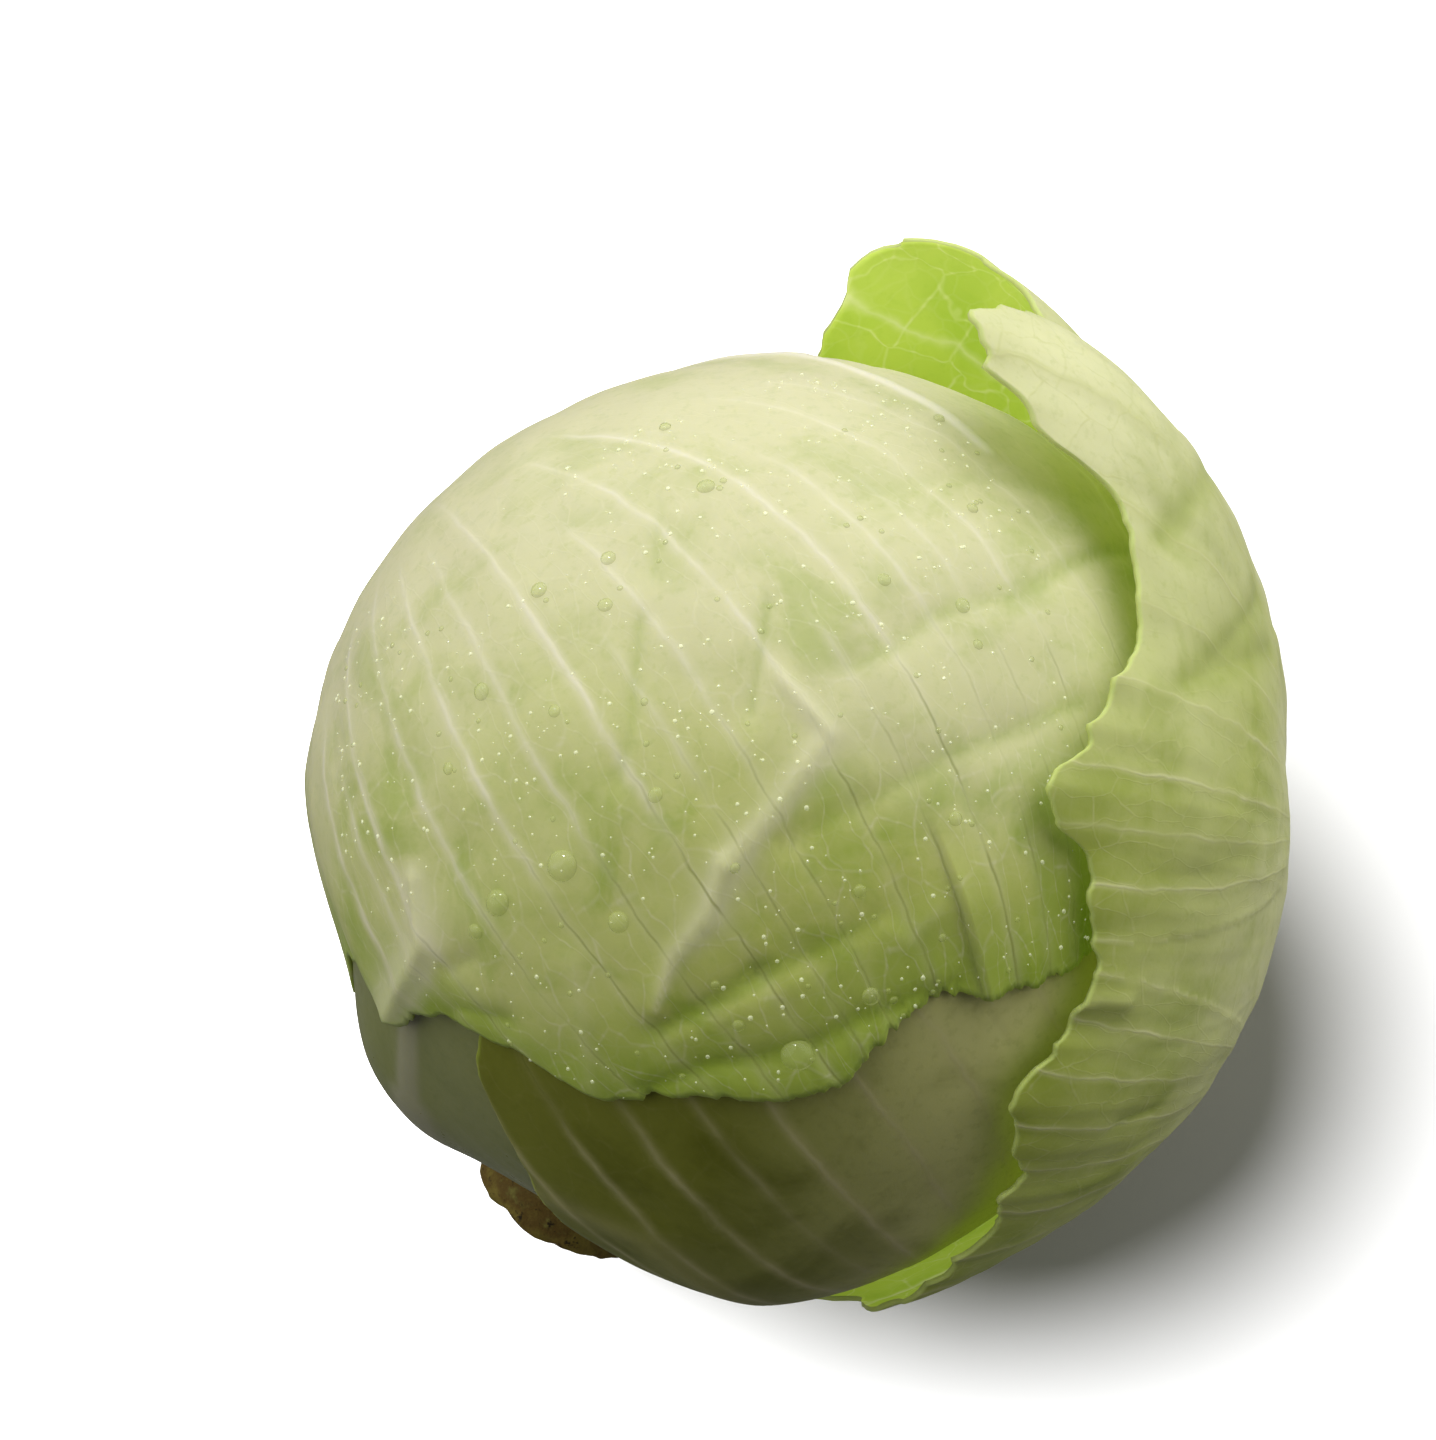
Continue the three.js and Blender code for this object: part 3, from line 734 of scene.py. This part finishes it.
def makeStem():
    neck = -0.8 * head["radius"] / mm  # where the stump leaves the head
    side, cut = stem["radius"] - stem["inset"], -stem["reach"]
    # distance from the axis and height, from the middle of the cut face to the core's tip
    profile = [(0, cut + 0.8), (5, cut + 0.6), (10, cut + 0.3), (side - 3, cut),
               (side - 1.2, cut + 0.3), (side - 0.3, cut + 1.4), (side, cut + 3),
               (side, cut + 6), (side, cut + 10), (side, neck - 4), (side, neck),
               (0.84 * side, 0.75 * neck), (0.62 * side, 0.35 * neck), (0.45 * side, 0),
               (stem["tipRadius"] - 1, stem["tip"] - 8), (0, stem["tip"] - 1)]
    bm = bmesh.new()
    line = [bm.verts.new((out * mm, 0, height * mm)) for out, height in profile]
    edges = [bm.edges.new(pair) for pair in zip(line[:-1], line[1:])]
    bmesh.ops.spin(bm, geom=line + edges, cent=(0, 0, 0), axis=(0, 0, 1),
                   angle=2 * math.pi, steps=stem["sides"], use_merge=True)
    bmesh.ops.remove_doubles(bm, verts=bm.verts, dist=0.01 * mm)
    bmesh.ops.subdivide_edges(bm, edges=bm.edges, cuts=1, use_grid_fill=True)
    bmesh.ops.recalc_face_normals(bm, faces=bm.faces)
    for vert in bm.verts:
        spot = vert.co / mm
        knob = noise.noise(spot / stem["knobSize"] + Vector((stem["seed"],) * 3))
        knob += 0.5 * noise.noise(spot / stem["pimpleSize"])
        outside = smoothStep(neck + 6, neck - 4, spot.z)
        vert.co += vert.co.normalized() * knob * stem["knobs"] * mm * float(outside)
        vert.co = centre + layDown @ vert.co
    return bm


def stemFinish():
    finish = Finish("stemSkin")
    patch = finish.noise(stem["patchSize"], detail=4, rough=0.65)
    spots = finish.noise(stem["spotSize"], detail=3, rough=0.7)
    skin = finish.mix(patch.ease(0.35, 0.65), stem["cork"], stem["brown"])
    skin = finish.mix(patch.ease(0.55, 0.8), skin, stem["scar"])
    skin = finish.mix(spots.ease(0.58, 0.70), skin, stem["spots"])
    return finish.wear(Base_Color=skin, Roughness=0.6 + spots * 0.3, Specular_IOR_Level=0.12,
                       Normal=finish.bump(spots + patch, 0.5, 1.0))


makePiece("stemStump", makeStem(), [stemFinish()], "stem")

# Dew: flattened drops that sit a little into the cover leaf
dew = {"count": 900, "bearings": (4, 112), "reaches": (46, 134), "radius": (0.16, 0.6),
       "beadSize": 0.5, "batch": 30, "flatness": 0.6, "uneven": 0.15, "lift": 0.12,
       "dropShadeColour": (0.30, 0.34, 0.11), "beadHighlight": (0.70, 0.73, 0.52), "body": 0.3, "rim": 0.4,
       "seed": 7, "largeFineness": 6, "smallFineness": 2, "doubled": 0.05,
       # drops gather in patches: their size in degrees, a seed, and the level where they start
       "patchSize": (22, 16), "patchSeed": 4.2, "patchLevel": -0.1,
       # bearing, reach and radius in mm
       "large": [(42, 62, 1.7), (58, 65, 1.4), (68, 64, 1.6), (80, 72, 1.7), (61, 71, 1.3),
                 (80, 96, 2.8), (90, 95, 2.3), (69, 130, 3.0), (78, 105, 1.9), (95, 96, 1.5),
                 (66, 95, 1.3), (22, 90, 1.5), (55, 128, 1.6), (30, 84, 1.2), (72, 80, 1.2),
                 (88, 78, 1.2), (35, 113, 1.3), (50, 116, 1.2)]}


# Clear in the middle of a drop; a dark olive skin, painted shade for the drop's edge, thickens
# where its side turns away
def waterFinish():
    finish = Finish("dewWater")
    finish.wear(Base_Color=dew["dropShadeColour"], Roughness=0.1, IOR=1.33, Specular_IOR_Level=1.0)
    clear = finish.node("ShaderNodeBsdfTransparent")
    turned = finish.node("ShaderNodeLayerWeight", {}, {"Blend": 0.5}, out="Facing")
    skin = Tie(finish, finish.shader.outputs[0])
    drop = finish.node("ShaderNodeMixShader", {}, (
        dew["body"] + turned ** 3 * dew["rim"], clear, skin))
    finish.feed(finish.tree.nodes["Material Output"].inputs["Surface"], drop)
    return finish.material


# Drops too small to see through get a pale colour, a painted highlight, and look like pale beads
def beadFinish():
    return Finish("dewBeads").wear(Base_Color=dew["beadHighlight"], Roughness=0.12, IOR=1.33, Alpha=0.38)


# One drop on the leaf, added to a mesh that stays small while it is worked on
def addDrop(bm, spot, normal, size, fineness):
    turn = normal.to_track_quat("Z", "X").to_matrix().to_4x4()
    shape = Matrix.Diagonal((1 + dew["uneven"] * random.uniform(-1, 1), 1, dew["flatness"], 1))
    place = Matrix.Translation(spot + normal * size * mm * dew["lift"]) @ turn @ shape
    made = bmesh.ops.create_uvsphere(bm, u_segments=4 * fineness, v_segments=2 * fineness,
                                     radius=size * mm, matrix=place)
    if size < dew["beadSize"]:
        for face in {face for vert in made["verts"] for face in vert.link_faces}:
            face.material_index = 1


def makeDew():
    random.seed(dew["seed"])
    cover = bpy.data.objects["coverLeaf"]
    skin = BVHTree.FromPolygons([vert.co for vert in cover.data.vertices],
                                [face.vertices for face in cover.data.polygons])
    spots = [(*drop, dew["largeFineness"]) for drop in dew["large"]]
    low, high = dew["radius"]
    across, along = dew["patchSize"]
    while len(spots) < dew["count"]:
        bearing, reach = random.uniform(*dew["bearings"]), random.uniform(*dew["reaches"])
        patchy = noise.noise((bearing / across, reach / along, dew["patchSeed"]))
        patchy += random.uniform(-0.5, 0.5)
        size = low + (high - low) * random.random() ** 3
        size *= 2 if random.random() < dew["doubled"] else 1
        if patchy > dew["patchLevel"]:
            spots.append((bearing, reach, size, dew["smallFineness"]))
    whole = bmesh.new()
    palm = direction(*coverLeaf["palm"])
    for first in range(0, len(spots), dew["batch"]):
        bm = bmesh.new()
        for bearing, reach, size, fineness in spots[first:first + dew["batch"]]:
            way = Vector(fromPalm(palm, np.array(float(bearing)), np.array(float(reach))))
            spot, normal, _, _ = skin.ray_cast(centre + way * head["radius"] * 1.3, -way)
            if spot is not None:
                addDrop(bm, spot, normal, size, fineness)
        mesh = bpy.data.meshes.new("dewBatch")
        bm.to_mesh(mesh)
        bm.free()
        whole.from_mesh(mesh)
        bpy.data.meshes.remove(mesh)
    return whole


drops = makePiece("dewDrops", makeDew(), [waterFinish(), beadFinish()])
drops.visible_shadow = False

# White paper to lie on; it takes no part in the light that bounces between the leaves
floor = {"size": 6.0, "squares": 8, "colour": (0.85, 0.85, 0.85), "rough": 0.9}
bm = bmesh.new()
bmesh.ops.create_grid(bm, x_segments=floor["squares"], y_segments=floor["squares"],
                      size=floor["size"] / 2)
mesh = bpy.data.meshes.new("floor")
bm.to_mesh(mesh)
bm.free()
mesh.materials.append(Finish("floorPaper").wear(
    Base_Color=floor["colour"], Roughness=floor["rough"], Specular_IOR_Level=0.0))
paper = bpy.data.objects.new("floor", mesh)
bpy.context.scene.collection.objects.link(paper)
paper.visible_diffuse = False
paper.visible_glossy = False
print("laid floor")

# Light: three soft windows round the back light the head, one the paper, and a small one the dew
sky = {"strength": 0.15}
windows = {
    "leftWindow": {"power": 45, "size": 3.6, "azimuth": 168, "elevation": 35, "distance": 2.0},
    "backWindow": {"power": 30, "size": 3.6, "azimuth": 90, "elevation": 22, "distance": 2.0},
    "rightWindow": {"power": 52, "size": 3.6, "azimuth": 32, "elevation": 40, "distance": 2.0},
}
paperLight = {"power": 150, "size": 2.24, "azimuth": 165, "elevation": 55, "distance": 1.6}
sparkle = {"power": 22, "size": 0.15, "azimuth": 120, "elevation": 62, "distance": 1.5}


# A disk of light aimed at the head; it lights only the given piece, or everything but it
def hangLight(name, light, piece, receives):
    lamp = bpy.data.lights.new(name, "AREA")
    lamp.energy, lamp.size, lamp.shape = light["power"], light["size"], "DISK"
    hung = bpy.data.objects.new(name, lamp)
    bpy.context.scene.collection.objects.link(hung)
    around, up = math.radians(light["azimuth"]), math.radians(light["elevation"])
    way = Vector((math.cos(up) * math.cos(around), math.cos(up) * math.sin(around), math.sin(up)))
    hung.location = centre + way * light["distance"]
    hung.rotation_euler = way.to_track_quat("Z", "Y").to_euler()
    hung.visible_camera = False
    lit = bpy.data.collections.new(name + "Reach")
    lit.objects.link(piece)
    lit.collection_objects[0].light_linking.link_state = receives
    hung.light_linking.receiver_collection = lit
    print("hung", name)


for name, light in windows.items():
    hangLight(name, light, paper, "EXCLUDE")
hangLight("paperLight", paperLight, paper, "INCLUDE")
hangLight("sparkle", sparkle, drops, "INCLUDE")
world = bpy.data.worlds.new("sky")
bpy.context.scene.world = world
world.use_nodes = True
world.node_tree.nodes["Background"].inputs["Color"].default_value = (1, 1, 1, 1)
world.node_tree.nodes["Background"].inputs["Strength"].default_value = sky["strength"]

# Camera: a long lens, high in front
view = {"elevation": 65, "distance": 1.12987, "lens": 150, "sensor": 36, "farthest": 20,
        "target": (-0.00885, 0.01775, 0.09528)}
camera = bpy.data.cameras.new("camera")
camera.lens, camera.sensor_width = view["lens"], view["sensor"]
camera.clip_end = view["farthest"]
eye = bpy.data.objects.new("camera", camera)
bpy.context.scene.collection.objects.link(eye)
up = math.radians(view["elevation"])
back = Vector((0, -math.cos(up), math.sin(up)))
eye.location = Vector(view["target"]) + back * view["distance"]
eye.rotation_euler = back.to_track_quat("Z", "Y").to_euler()
bpy.context.scene.camera = eye
bpy.context.scene.view_settings.view_transform = "Standard"
print("camera set")

bpy.context.view_layer.update()
